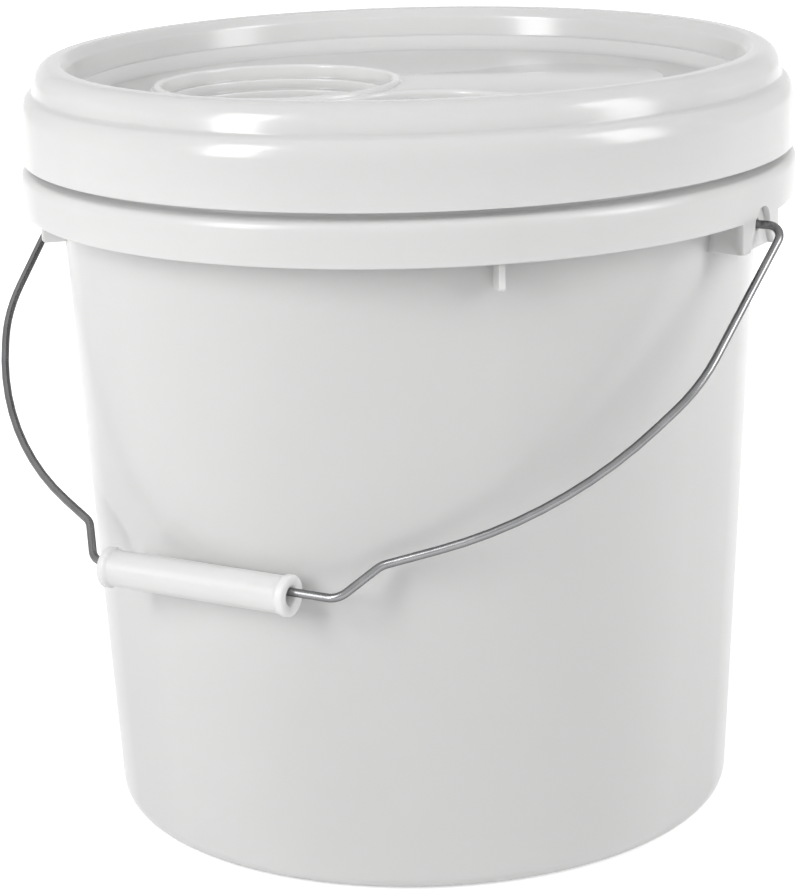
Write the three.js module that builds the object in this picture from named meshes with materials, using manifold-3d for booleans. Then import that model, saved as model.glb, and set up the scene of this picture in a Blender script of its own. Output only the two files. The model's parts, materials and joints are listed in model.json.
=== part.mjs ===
// Paint bucket with a press-on lid, a wire bail and a tubular hand grip.
// Millimetres, +Z up. The origin is the centre of the base underside, and the ears lie on the X axis.
import * as THREE from 'three';
import { mergeVertices } from 'three/addons/utils/BufferGeometryUtils.js';
import Module from 'manifold-3d';

const wasm = await Module();
wasm.setup();

// Bucket body
const BASE_RADIUS = 110;
const WALL_SLOPE = 0.0496;
const WALL = 2;
const FLOOR = 2.4;
const BASE_ROUNDING = 7;

// Collar that runs round the bucket under the lid
const COLLAR_RADIUS = 134;
const COLLAR_FOOT_RADIUS = 133.2;
const COLLAR_FOOT = 216.2;
const COLLAR_TOP = 231;
const COLLAR_ROUNDING = 3.4;
const SKIRT = 2;
const FLANGE = 2;

// Neck and rim that the lid snaps over
const NECK_RADIUS = 126;
const NECK_BEAD_RADIUS = 129.4;
const NECK_BEAD_HEIGHT = 246;
const BEAD_RISE = 1.4;
const RIM_CHAMFER = 0.7;

// Lid
const LID_RADIUS = 133.1;
const LID_FOOT_GAP = 2.6;
const LID_WALL = 2;
const LID_SKIRT_HEIGHT = 14.8;
const SHOULDER_RUN = 4.4;
const SHOULDER_RISE = 8.2;
const CREST_TOP = 266;
const CREST_OUTER = 122.4;
const CREST_INNER = 118.6;
const STEP_RADIUS = 115.9;
const STEP_HEIGHT = 255.9;
const STEP_LEDGE = 1;
const PANEL_RADIUS = 112.4;
const PANEL_HEIGHT = 250.6;
const SNAP_CLEARANCE = 0.35;
const SEAT_GAP = 0.3;
const SNAP_BEAD_DROP = 3;

// Raised island on the lid, with a round well in one of its two lobes
const ISLAND_TURN = THREE.MathUtils.degToRad(28);
const ISLAND_RISE = 4;
const WELL_OFFSET = 44.8;
const WELL_LOBE_RADIUS = 44;
const PLAIN_OFFSET = 51.8;
const PLAIN_LOBE_RADIUS = 37.5;
const WAIST_RADIUS = 30;
const WELL_RADIUS = 40.2;
const WELL_LIP = 1.2;
const WELL_DEPTH = 13;
const WELL_STEP = 2.6;
const WELL_STEP_DROP = 3.6;
const GATE_LENGTH = 6;
const GATE_WIDTH = 1.6;
const GATE_DEPTH = 0.5;
const GATE_OFFSET = 15;

// Ears and the gusset ribs under the collar
const PIVOT_HEIGHT = 213.9;
const EAR_FOOT = 206.2;
const EAR_HALF_ANGLE = THREE.MathUtils.degToRad(6.2);
const EAR_PLATE = 2.2;
const EAR_WEB = 2;
const POCKET_FACE = 131;
const POCKET_BACKING = 2.6;
const POCKET_RADIUS = 6.2;
const POCKET_FOOT_HALF = 10.5;
const POCKET_BORDER = 2.4;
const EAR_CLEARANCE = 0.6;
const RIB_COUNT = 4;
const RIB_TURN = THREE.MathUtils.degToRad(-47.5);
const RIB_RADIUS = 128.6;
const RIB_FOOT = 206.8;
const RIB_THICKNESS = 2;
const RIB_CHAMFER = 0.8;

// Bail: its centreline in the plane of the bail, as distance along the pivot and away from it
const WIRE_RADIUS = 1.4;
const PIN_CLEARANCE = 2;
const EAR_BEND = [142.6, 0];
const EAR_BEND_RADIUS = 5.5;
const KINK = [137.2, 65.8];
const KINK_RADIUS = 80;
const SWEEP = [110.3, 119.8];
const SWEEP_RADIUS = 133;
const CRANK = [56.9, 146.6];
const CRANK_RADIUS = 8;
const HAND = [47.5, 161];
const HAND_RADIUS = 7;
const BAIL_SLIDE = 1.6;
const BAIL_SKEW = 0.035;

// Hand grip, a flanged tube that hangs on the straight middle of the bail
const GRIP_LENGTH = 72;
const GRIP_RADIUS = 6.2;
const GRIP_FLANGE_RADIUS = 6.9;
const GRIP_FLANGE = 2.2;
const GRIP_FLANGE_SLOPE = 1.2;
const GRIP_BORE_RADIUS = 3.1;
const GRIP_MOUTH = 0.6;
const GRIP_END_PLAY = 2;
const REST_GAP = 0.3;

// Faceting
const TURN_STEPS = 64;
const WELL_STEPS = 44;
const SMALL_STEPS = 24;
const BEND_STEP = THREE.MathUtils.degToRad(8);
const WIRE_SIDES = 10;

const neckInner = NECK_RADIUS - WALL;
const lidFoot = COLLAR_TOP + LID_FOOT_GAP;
const islandTop = PANEL_HEIGHT + ISLAND_RISE;

// Radius of the outer wall at a height.
function wallRadius(z) {
  return BASE_RADIUS + WALL_SLOPE * z;
}

// Points on an arc in a half section, as [radius, height].
function arc(cx, cy, radius, from, to, steps) {
  const points = [];
  for (let i = 0; i <= steps; i++) {
    const t = THREE.MathUtils.degToRad(from + (to - from) * i / steps);
    points.push([cx + radius * Math.cos(t), cy + radius * Math.sin(t)]);
  }
  return points;
}

// Points on a quarter of an ellipse in a half section.
function quarter(cx, cy, rx, ry, from, to, steps) {
  return arc(0, 0, 1, from, to, steps).map(([x, y]) => [cx + rx * x, cy + ry * y]);
}

// The same polyline moved sideways by a wall, to the right of its direction.
function offsetLine(points, distance) {
  return points.map((p, i) => {
    const before = points[Math.max(i - 1, 0)];
    const after = points[Math.min(i + 1, points.length - 1)];
    const a = normalOf(i > 0 ? before : p, i > 0 ? p : after);
    const b = normalOf(i < points.length - 1 ? p : before, i < points.length - 1 ? after : p);
    const scale = distance / (1 + a[0] * b[0] + a[1] * b[1]);
    return [p[0] + (a[0] + b[0]) * scale, p[1] + (a[1] + b[1]) * scale];
  });
}

function normalOf(from, to) {
  const length = Math.hypot(to[0] - from[0], to[1] - from[1]);
  return [(from[1] - to[1]) / length, (to[0] - from[0]) / length];
}

// A solid turned about the Z axis from a half section whose ends lie on the axis or meet.
function turned(section, steps) {
  const points = section.map(([r, z]) => new THREE.Vector2(r, z));
  const geometry = new THREE.LatheGeometry(points, steps);
  geometry.rotateX(Math.PI / 2);
  return solid(geometry);
}

// A prism from a flat outline of [x, y] points between two heights.
function prism(outline, low, high) {
  const shape = new THREE.Shape(outline.map(([x, y]) => new THREE.Vector2(x, y)));
  const geometry = new THREE.ExtrudeGeometry(shape, { depth: high - low, bevelEnabled: false, curveSegments: 1 });
  geometry.translate(0, 0, low);
  return solid(geometry);
}

// Merges the shared vertices and turns the faces outwards, so that it can be joined and cut.
function solid(geometry) {
  geometry.deleteAttribute('normal');
  geometry.deleteAttribute('uv');
  const merged = mergeVertices(geometry, 1e-4);
  const kept = [];
  const index = merged.index.array;
  for (let i = 0; i < index.length; i += 3) {
    const [a, b, c] = [index[i], index[i + 1], index[i + 2]];
    if (a !== b && b !== c && c !== a) {
      kept.push(a, b, c);
    }
  }
  if (signedVolume(merged.attributes.position.array, kept) < 0) {
    kept.reverse();
  }
  return new wasm.Manifold(new wasm.Mesh({
    numProp: 3,
    vertProperties: new Float32Array(merged.attributes.position.array),
    triVerts: new Uint32Array(kept),
  }));
}

function signedVolume(position, index) {
  let sum = 0;
  const [a, b, c] = [new THREE.Vector3(), new THREE.Vector3(), new THREE.Vector3()];
  for (let i = 0; i < index.length; i += 3) {
    a.fromArray(position, 3 * index[i]);
    b.fromArray(position, 3 * index[i + 1]);
    c.fromArray(position, 3 * index[i + 2]);
    sum += a.dot(b.cross(c));
  }
  return sum;
}

function meshOf(name, shape, material) {
  const { vertProperties, triVerts, numProp } = shape.getMesh();
  const position = new Float32Array(3 * vertProperties.length / numProp);
  for (let i = 0; i < position.length / 3; i++) {
    position.set(vertProperties.subarray(i * numProp, i * numProp + 3), 3 * i);
  }
  const geometry = new THREE.BufferGeometry();
  geometry.setAttribute('position', new THREE.BufferAttribute(position, 3));
  geometry.setIndex(new THREE.BufferAttribute(triVerts, 1));
  geometry.computeVertexNormals();
  const mesh = new THREE.Mesh(geometry, material);
  mesh.name = name;
  return mesh;
}

// Outer side of the lid from the foot of its skirt to the middle of its panel.
function lidTopLine() {
  const shoulderFoot = lidFoot + LID_SKIRT_HEIGHT;
  const slopeFoot = [LID_RADIUS - SHOULDER_RUN, shoulderFoot + SHOULDER_RISE];
  return [
    [LID_RADIUS, lidFoot],
    ...quarter(slopeFoot[0], shoulderFoot, SHOULDER_RUN, SHOULDER_RISE * 0.94, 0, 78, 4),
    slopeFoot,
    ...quarter(CREST_OUTER, slopeFoot[1], slopeFoot[0] - CREST_OUTER, CREST_TOP - slopeFoot[1], 22, 90, 3),
    [CREST_INNER, CREST_TOP],
    [CREST_INNER - 1.5, CREST_TOP - 1.3],
    [STEP_RADIUS + 0.5, CREST_TOP - 4],
    [STEP_RADIUS, STEP_HEIGHT],
    [STEP_RADIUS - STEP_LEDGE, STEP_HEIGHT - 0.4],
    [PANEL_RADIUS + 1, PANEL_HEIGHT + 1.6],
    [PANEL_RADIUS - 1.4, PANEL_HEIGHT],
    [0, PANEL_HEIGHT],
  ];
}

// Height of the lid's underside above the rim, at a radius on its outer slope.
function undersideHeight(radius) {
  const line = offsetLine(lidTopLine(), LID_WALL);
  for (let i = 1; i < line.length; i++) {
    const [outer, inner] = [line[i - 1], line[i]];
    if (outer[0] >= radius && inner[0] <= radius && outer[1] > lidFoot + LID_SKIRT_HEIGHT) {
      const share = (outer[0] - radius) / (outer[0] - inner[0]);
      return outer[1] + (inner[1] - outer[1]) * share;
    }
  }
  return CREST_TOP - LID_WALL;
}

// Outline of the island: two round lobes joined by a waist of two tangent arcs.
function islandOutline(inset) {
  const wellR = WELL_LOBE_RADIUS - inset;
  const plainR = PLAIN_LOBE_RADIUS - inset;
  const waistR = WAIST_RADIUS + inset;
  const span = WELL_OFFSET + PLAIN_OFFSET;
  const toWell = wellR + waistR;
  const toPlain = plainR + waistR;
  const along = (span * span + toWell * toWell - toPlain * toPlain) / (2 * span);
  const across = Math.sqrt(toWell * toWell - along * along);
  const atWell = THREE.MathUtils.radToDeg(Math.atan2(across, along));
  const atPlain = THREE.MathUtils.radToDeg(Math.atan2(across, along - span));
  const waistX = along - WELL_OFFSET;
  return [
    ...arc(PLAIN_OFFSET, 0, plainR, -atPlain, atPlain, 22),
    ...arc(waistX, across, waistR, atPlain - 180, atWell - 180, 5).slice(1, -1),
    ...arc(-WELL_OFFSET, 0, wellR, atWell, 360 - atWell, 26),
    ...arc(waistX, -across, waistR, 180 - atWell, 180 - atPlain, 5).slice(1, -1),
  ];
}

// Section of the well: a raised lip, two round steps down its side and a flat floor.
function wellSection() {
  const floor = islandTop - WELL_DEPTH;
  const lip = (WELL_LOBE_RADIUS - WELL_RADIUS) / 2;
  const second = WELL_RADIUS - WELL_STEP;
  const third = second - WELL_STEP;
  const outerSide = WELL_RADIUS + LID_WALL;
  return [
    [0, floor],
    [third - 1.5, floor],
    [third, floor + 1.5],
    [third, islandTop - 2 * WELL_STEP_DROP],
    [second, islandTop - 2 * WELL_STEP_DROP],
    [second, islandTop - WELL_STEP_DROP],
    [WELL_RADIUS, islandTop - WELL_STEP_DROP],
    [WELL_RADIUS, islandTop + WELL_LIP * 0.4],
    [WELL_RADIUS + lip * 0.6, islandTop + WELL_LIP],
    [WELL_RADIUS + lip * 1.4, islandTop + WELL_LIP],
    [WELL_LOBE_RADIUS - 0.6, islandTop - 0.6],
    [outerSide, islandTop - LID_WALL],
    [outerSide, islandTop - WELL_STEP_DROP - LID_WALL],
    [second + LID_WALL, islandTop - WELL_STEP_DROP - LID_WALL],
    [second + LID_WALL, islandTop - 2 * WELL_STEP_DROP - LID_WALL],
    [third + LID_WALL, islandTop - 2 * WELL_STEP_DROP - LID_WALL],
    [third + LID_WALL, floor + 0.6],
    [third, floor - LID_WALL],
    [0, floor - LID_WALL],
  ];
}

// A slot with round ends for the shallow mark that the moulding gate leaves.
function gateOutline() {
  const half = (GATE_LENGTH - GATE_WIDTH) / 2;
  return [
    ...arc(half, GATE_OFFSET, GATE_WIDTH / 2, -90, 90, 6),
    ...arc(-half, GATE_OFFSET, GATE_WIDTH / 2, 90, 270, 6),
  ];
}

function makeLid() {
  const top = lidTopLine();
  const under = offsetLine(top, LID_WALL).reverse();
  under[0][0] = 0;
  under[under.length - 1][1] = lidFoot;
  const shell = turned([...top.reverse(), ...under.reverse()], TURN_STEPS);
  const beadRadius = NECK_BEAD_RADIUS + SNAP_CLEARANCE;
  const beadHeight = NECK_BEAD_HEIGHT - SNAP_BEAD_DROP;
  const skirtMiddle = LID_RADIUS - LID_WALL / 2;
  const snapBead = turned([
    [skirtMiddle, beadHeight - 2 * BEAD_RISE],
    [skirtMiddle, beadHeight],
    [beadRadius + 0.4, beadHeight],
    [beadRadius, beadHeight - BEAD_RISE * 0.6],
    [beadRadius, beadHeight - BEAD_RISE],
    [skirtMiddle, beadHeight - 2 * BEAD_RISE],
  ], TURN_STEPS);
  const islandBody = prism(islandOutline(0), PANEL_HEIGHT - LID_WALL, islandTop);
  const islandHollow = prism(islandOutline(LID_WALL), PANEL_HEIGHT - 2 * LID_WALL, islandTop - LID_WALL);
  const wellCut = turned([[0, PANEL_HEIGHT - 2 * LID_WALL], [WELL_RADIUS + 1, PANEL_HEIGHT - 2 * LID_WALL],
    [WELL_RADIUS + 1, CREST_TOP], [0, CREST_TOP]], WELL_STEPS).translate([-WELL_OFFSET, 0, 0]);
  const well = turned(wellSection(), WELL_STEPS).translate([-WELL_OFFSET, 0, 0]);
  const gate = prism(gateOutline(), islandTop - GATE_DEPTH, CREST_TOP);
  return shell.add(snapBead)
    .add(islandBody)
    .subtract(islandHollow)
    .subtract(wellCut)
    .add(well)
    .subtract(gate)
    .rotate([0, 0, THREE.MathUtils.radToDeg(ISLAND_TURN)]);
}

function bucketSection() {
  const rimTop = undersideHeight(NECK_RADIUS) - SEAT_GAP;
  const flangeFoot = COLLAR_TOP - FLANGE;
  const innerRounding = BASE_ROUNDING - WALL;
  return [
    [0, 0],
    ...arc(wallRadius(BASE_ROUNDING) - BASE_ROUNDING, BASE_ROUNDING, BASE_ROUNDING, -90, 0, 5),
    [wallRadius(flangeFoot), flangeFoot],
    [COLLAR_RADIUS - SKIRT, flangeFoot],
    [COLLAR_FOOT_RADIUS - SKIRT, COLLAR_FOOT],
    [COLLAR_FOOT_RADIUS, COLLAR_FOOT],
    ...arc(COLLAR_RADIUS - COLLAR_ROUNDING, COLLAR_TOP - COLLAR_ROUNDING, COLLAR_ROUNDING, 0, 90, 4),
    [NECK_RADIUS, COLLAR_TOP],
    [NECK_RADIUS, NECK_BEAD_HEIGHT - BEAD_RISE],
    [NECK_BEAD_RADIUS, NECK_BEAD_HEIGHT],
    [NECK_BEAD_RADIUS, NECK_BEAD_HEIGHT + BEAD_RISE],
    [NECK_RADIUS, NECK_BEAD_HEIGHT + 3 * BEAD_RISE],
    [NECK_RADIUS, rimTop - RIM_CHAMFER],
    [NECK_RADIUS - RIM_CHAMFER, rimTop],
    [neckInner, rimTop],
    [neckInner, COLLAR_TOP + FLANGE],
    [wallRadius(COLLAR_TOP) - WALL, COLLAR_TOP],
    ...arc(wallRadius(FLOOR) - WALL - innerRounding, FLOOR + innerRounding, innerRounding, 0, -90, 4),
    [0, FLOOR],
  ];
}

// A curved plate between two radii, centred on the X axis.
function sector(inner, outer, half, low, high) {
  const degrees = THREE.MathUtils.radToDeg(half);
  return prism([...arc(0, 0, outer, -degrees, degrees, 8), ...arc(0, 0, inner, degrees, -degrees, 8)], low, high);
}

// A flat radial plate, with the lower outer corner cut off by a chamfer.
function radialPlate(inner, outer, thickness, low, high, chamfer) {
  const outline = [[inner, low], [outer - chamfer, low], [outer, low + chamfer], [outer, high], [inner, high]];
  const shape = new THREE.Shape(outline.map(([x, z]) => new THREE.Vector2(x, z)));
  const geometry = new THREE.ExtrudeGeometry(shape, { depth: thickness, bevelEnabled: false });
  geometry.rotateX(Math.PI / 2);
  geometry.translate(0, thickness / 2, 0);
  return solid(geometry);
}

// Outline of the pocket round the ear hole, as [across, height]: an arch that widens downwards.
function pocketOutline(border) {
  const radius = POCKET_RADIUS + border;
  const foot = border > 0 ? EAR_FOOT : EAR_FOOT - WALL;
  return [
    [POCKET_FOOT_HALF + border, foot],
    ...arc(0, PIVOT_HEIGHT, radius, 0, 180, 10),
    [-POCKET_FOOT_HALF - border, foot],
  ];
}

// A prism from an outline of [across, height], running along X.
function prismAlongX(outline, from, to) {
  const shape = new THREE.Shape(outline.map(([y, z]) => new THREE.Vector2(y, z)));
  const geometry = new THREE.ExtrudeGeometry(shape, { depth: to - from, bevelEnabled: false });
  geometry.applyMatrix4(new THREE.Matrix4().set(0, 0, 1, from, 1, 0, 0, 0, 0, 1, 0, 0, 0, 0, 0, 1));
  return solid(geometry);
}

function makeEar() {
  const root = wallRadius(EAR_FOOT) - WALL / 2;
  const high = COLLAR_TOP - FLANGE / 2;
  const plate = sector(COLLAR_FOOT_RADIUS - EAR_PLATE, COLLAR_FOOT_RADIUS, EAR_HALF_ANGLE, EAR_FOOT, COLLAR_FOOT + SKIRT);
  const web = radialPlate(root, COLLAR_FOOT_RADIUS - EAR_PLATE / 2, EAR_WEB, EAR_FOOT, high, 0);
  const turn = THREE.MathUtils.radToDeg(EAR_HALF_ANGLE - EAR_WEB / 2 / COLLAR_FOOT_RADIUS);
  const backing = prismAlongX(pocketOutline(POCKET_BORDER), POCKET_FACE - POCKET_BACKING,
    COLLAR_FOOT_RADIUS - EAR_PLATE / 2);
  return plate.add(web.rotate([0, 0, turn])).add(web.rotate([0, 0, -turn])).add(backing);
}

function makeEarCut() {
  const pocket = prismAlongX(pocketOutline(0), POCKET_FACE, COLLAR_RADIUS + 2 * WALL);
  const hole = prismAlongX(arc(0, PIVOT_HEIGHT, WIRE_RADIUS + EAR_CLEARANCE, 0, 345, 23),
    wallRadius(PIVOT_HEIGHT) + WALL / 2, COLLAR_RADIUS);
  return pocket.add(hole);
}

function makeBucket() {
  let body = turned(bucketSection(), TURN_STEPS);
  const ribRoot = wallRadius(RIB_FOOT) - WALL / 2;
  const ribTop = COLLAR_TOP - FLANGE / 2;
  const inCollar = radialPlate(ribRoot, COLLAR_FOOT_RADIUS - SKIRT / 2, RIB_THICKNESS, COLLAR_FOOT + SKIRT, ribTop, 0);
  const rib = radialPlate(ribRoot, RIB_RADIUS, RIB_THICKNESS, RIB_FOOT, ribTop, RIB_CHAMFER).add(inCollar);
  for (let i = 0; i < RIB_COUNT; i++) {
    body = body.add(rib.rotate([0, 0, THREE.MathUtils.radToDeg(RIB_TURN) + 360 * i / RIB_COUNT]));
  }
  for (const turn of [0, 180]) {
    body = body.add(makeEar().rotate([0, 0, turn]));
    body = body.subtract(makeEarCut().rotate([0, 0, turn]));
  }
  return body;
}

// Angle of the bail from straight down at which the grip just clears the wall.
function restAngle() {
  const lean = Math.atan(WALL_SLOPE);
  const pivotRadius = wallRadius(PIVOT_HEIGHT - gripDrop());
  const reach = pivotRadius + (GRIP_RADIUS + REST_GAP) * Math.hypot(1, WALL_SLOPE);
  return Math.asin(reach * Math.cos(lean) / HAND[1]) - lean;
}

// The grip hangs on the wire, so its axis lies below the wire's.
function gripDrop() {
  return GRIP_BORE_RADIUS - WIRE_RADIUS - REST_GAP;
}

// Replaces the corners of an open polyline by tangent arcs of the given radii.
function rounded(corners) {
  const path = new THREE.CurvePath();
  let from = corners[0].at;
  for (let i = 1; i < corners.length - 1; i++) {
    const { at, radius } = corners[i];
    const back = corners[i - 1].at.clone().sub(at).normalize();
    const ahead = corners[i + 1].at.clone().sub(at).normalize();
    const half = back.angleTo(ahead) / 2;
    const run = radius / Math.tan(half);
    const start = at.clone().addScaledVector(back, run);
    const end = at.clone().addScaledVector(ahead, run);
    path.add(new THREE.LineCurve3(from, start));
    path.add(new Bend(start, end, at, radius, half));
    from = end;
  }
  path.add(new THREE.LineCurve3(from, corners[corners.length - 1].at));
  return path;
}

// A circular arc that is tangent to both sides of a corner.
class Bend extends THREE.Curve {
  constructor(start, end, corner, radius, half) {
    super();
    const middle = start.clone().add(end).multiplyScalar(0.5);
    this.centre = corner.clone().add(middle.sub(corner).setLength(radius / Math.sin(half)));
    this.arm = start.clone().sub(this.centre);
    this.axis = this.arm.clone().cross(end.clone().sub(this.centre)).normalize();
    this.sweep = Math.PI - 2 * half;
  }

  getPoint(t, target = new THREE.Vector3()) {
    return target.copy(this.arm).applyAxisAngle(this.axis, this.sweep * t).add(this.centre);
  }
}

// How far the bail stands to the left at a distance from its pivot: it has slid in its ears and is bent askew.
function bailShift(away) {
  return BAIL_SLIDE + BAIL_SKEW * away;
}

// Corners of one half of the bail, from the pin in the ear to the middle of the grip.
function bailCorners(side, angle) {
  const place = ([along, away]) => new THREE.Vector3(side * along - bailShift(away), -away * Math.sin(angle),
    PIVOT_HEIGHT - away * Math.cos(angle));
  const pinEnd = side * (wallRadius(PIVOT_HEIGHT) + PIN_CLEARANCE);
  return [
    { at: new THREE.Vector3(pinEnd, 0, PIVOT_HEIGHT) },
    { at: place(EAR_BEND), radius: EAR_BEND_RADIUS },
    { at: place(KINK), radius: KINK_RADIUS },
    { at: place(SWEEP), radius: SWEEP_RADIUS },
    { at: place(CRANK), radius: CRANK_RADIUS },
    { at: place(HAND), radius: HAND_RADIUS },
  ];
}

// Stations along the wire: few on straight runs, more round the bends.
function wireStations(path) {
  const points = [];
  for (const piece of path.curves) {
    const bend = piece instanceof Bend;
    const steps = bend ? Math.max(3, Math.ceil(piece.sweep / BEND_STEP)) : 1;
    for (let i = 0; i < steps; i++) {
      points.push(piece.getPoint(i / steps));
    }
  }
  points.push(path.curves[path.curves.length - 1].getPoint(1));
  return points;
}

// A closed round wire through stations that all lie in one plane with the given normal.
function sweptWire(points, normal) {
  const position = [];
  points.forEach((p, i) => {
    const before = points[Math.max(i - 1, 0)].clone();
    const after = points[Math.min(i + 1, points.length - 1)].clone();
    const back = p.clone().sub(before).normalize();
    const ahead = after.sub(p).normalize();
    const tangent = back.clone().add(ahead).normalize();
    const across = new THREE.Vector3().crossVectors(normal, tangent).normalize();
    const widen = i > 0 && i < points.length - 1 ? 1 / tangent.dot(ahead) : 1;
    for (let s = 0; s < WIRE_SIDES; s++) {
      const t = 2 * Math.PI * s / WIRE_SIDES;
      const point = p.clone()
        .addScaledVector(across, WIRE_RADIUS * widen * Math.cos(t))
        .addScaledVector(normal, WIRE_RADIUS * Math.sin(t));
      position.push(...point.toArray());
    }
  });
  const index = [];
  for (let i = 0; i < points.length - 1; i++) {
    for (let s = 0; s < WIRE_SIDES; s++) {
      const [a, b] = [i * WIRE_SIDES + s, i * WIRE_SIDES + (s + 1) % WIRE_SIDES];
      index.push(a, b, b + WIRE_SIDES, a, b + WIRE_SIDES, a + WIRE_SIDES);
    }
  }
  const last = (points.length - 1) * WIRE_SIDES;
  for (let s = 1; s < WIRE_SIDES - 1; s++) {
    index.push(0, s + 1, s, last, last + s, last + s + 1);
  }
  const geometry = new THREE.BufferGeometry();
  geometry.setAttribute('position', new THREE.Float32BufferAttribute(position, 3));
  geometry.setIndex(index);
  return solid(geometry);
}

function makeBail(angle) {
  const right = bailCorners(1, angle);
  const left = bailCorners(-1, angle).reverse();
  const path = rounded([...right, ...left]);
  const normal = new THREE.Vector3(0, Math.cos(angle), -Math.sin(angle));
  return sweptWire(wireStations(path), normal);
}

function gripSection() {
  const half = GRIP_LENGTH / 2;
  const flangeInner = half - GRIP_FLANGE;
  return [
    [GRIP_BORE_RADIUS, -half + GRIP_MOUTH],
    [GRIP_BORE_RADIUS + GRIP_MOUTH, -half],
    [GRIP_FLANGE_RADIUS, -half],
    [GRIP_FLANGE_RADIUS, -flangeInner],
    [GRIP_RADIUS, -flangeInner + GRIP_FLANGE_SLOPE],
    [GRIP_RADIUS, flangeInner - GRIP_FLANGE_SLOPE],
    [GRIP_FLANGE_RADIUS, flangeInner],
    [GRIP_FLANGE_RADIUS, half],
    [GRIP_BORE_RADIUS + GRIP_MOUTH, half],
    [GRIP_BORE_RADIUS, half - GRIP_MOUTH],
    [GRIP_BORE_RADIUS, -half + GRIP_MOUTH],
  ];
}

// The grip has slid along the wire until it meets the crank on one side.
function makeGrip(angle) {
  const rise = HAND[1] - CRANK[1];
  const turn = Math.atan2(rise, CRANK[0] - HAND[0]);
  const straightHalf = HAND[0] - HAND_RADIUS * Math.tan(turn / 2);
  const shift = bailShift(HAND[1]) + straightHalf - GRIP_LENGTH / 2 - GRIP_END_PLAY;
  return turned(gripSection(), SMALL_STEPS)
    .rotate([0, 90, 0])
    .translate([-shift, -HAND[1] * Math.sin(angle), PIVOT_HEIGHT - HAND[1] * Math.cos(angle) - gripDrop()]);
}

const bucketPlastic = new THREE.MeshStandardMaterial({ color: 0xe4e4e2, roughness: 0.42, metalness: 0 });
const lidPlastic = new THREE.MeshStandardMaterial({ color: 0xececea, roughness: 0.36, metalness: 0 });
const steelWire = new THREE.MeshStandardMaterial({ color: 0x8c8e90, roughness: 0.25, metalness: 1 });
const gripPlastic = new THREE.MeshStandardMaterial({ color: 0xe9e9e6, roughness: 0.5, metalness: 0 });

const hang = restAngle();
const bucket = new THREE.Group();
bucket.add(meshOf('pail', makeBucket(), bucketPlastic));
bucket.add(meshOf('lid', makeLid(), lidPlastic));
bucket.add(meshOf('bail', makeBail(hang), steelWire));
bucket.add(meshOf('grip', makeGrip(hang), gripPlastic));

export default bucket;
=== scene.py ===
# %% [markdown]
# A paint bucket in Blender: the look of a lidded plastic bucket with a wire bail.
# The real bucket is four pieces: a moulded pail, a moulded lid, one bent wire and a tube that slips over it.
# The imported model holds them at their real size. This lesson models each one again with finer curves,
# gives it a plastic or steel finish, and lights it in front of a white studio.

# %% Load the frame
import json
import math

import bmesh
import bpy
from mathutils import Matrix, Vector


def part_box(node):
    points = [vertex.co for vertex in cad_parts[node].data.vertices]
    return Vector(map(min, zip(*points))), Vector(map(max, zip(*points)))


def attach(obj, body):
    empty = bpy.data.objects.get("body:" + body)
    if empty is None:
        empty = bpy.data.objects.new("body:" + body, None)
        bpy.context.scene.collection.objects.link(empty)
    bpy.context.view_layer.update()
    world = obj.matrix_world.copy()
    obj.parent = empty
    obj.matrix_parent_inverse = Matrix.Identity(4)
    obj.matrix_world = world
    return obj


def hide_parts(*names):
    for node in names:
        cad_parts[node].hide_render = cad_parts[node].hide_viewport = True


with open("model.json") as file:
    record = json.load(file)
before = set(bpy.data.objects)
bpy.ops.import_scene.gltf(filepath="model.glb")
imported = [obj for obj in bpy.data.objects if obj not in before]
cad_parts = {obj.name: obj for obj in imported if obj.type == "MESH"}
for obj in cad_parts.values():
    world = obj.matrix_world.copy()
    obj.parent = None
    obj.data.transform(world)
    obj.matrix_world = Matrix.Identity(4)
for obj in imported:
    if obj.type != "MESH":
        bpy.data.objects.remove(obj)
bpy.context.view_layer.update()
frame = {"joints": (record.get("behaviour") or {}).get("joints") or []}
MM = 0.001
joints = {joint["name"]: joint for joint in frame["joints"]}

# %% [markdown]
# The camera comes first, because every later choice is judged through it.
# A long lens from well back keeps the sides of the bucket nearly parallel, and it looks slightly down on the lid.
# The camera turns about the bucket's axis, so that one ear shows at the right.

# %% Place the camera
CAMERA_TURN = math.radians(30)
CAMERA_DISTANCE = 0.9663
CAMERA_HEIGHT = 0.3912
CAMERA_LENS = 112.52
LOOK_DOWN = math.radians(15.502)
LOOK_ASIDE = math.radians(0.339)
CAMERA_ROLL = math.radians(-1.613)

camera_data = bpy.data.cameras.new("camera")
camera_data.lens = CAMERA_LENS
camera_data.sensor_width = 36
camera = bpy.data.objects.new("camera", camera_data)
bpy.context.scene.collection.objects.link(camera)
stand = Vector((math.sin(CAMERA_TURN), -math.cos(CAMERA_TURN), 0)) * CAMERA_DISTANCE
aim = (
    Matrix.Rotation(CAMERA_TURN + LOOK_ASIDE, 4, "Z")
    @ Matrix.Rotation(math.pi / 2 - LOOK_DOWN, 4, "X")
    @ Matrix.Rotation(CAMERA_ROLL, 4, "Z")
)
camera.matrix_world = Matrix.Translation(stand + Vector((0, 0, CAMERA_HEIGHT))) @ aim
bpy.context.scene.camera = camera
print("camera at", [round(c, 3) for c in camera.location])

# %% [markdown]
# Round mouldings are drawn as half a section and turned about their axis.
# A section is a list of corners, each with its radius from the axis, its height and the rounding of that corner.
# The rounding is what catches a thin highlight on every real plastic edge, so it is drawn into the section.
# It never takes up more than about half of a side, so that the next corner has room for its own.

# %% Draw a section with rounded corners
LONGEST_RUN = 0.48


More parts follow.
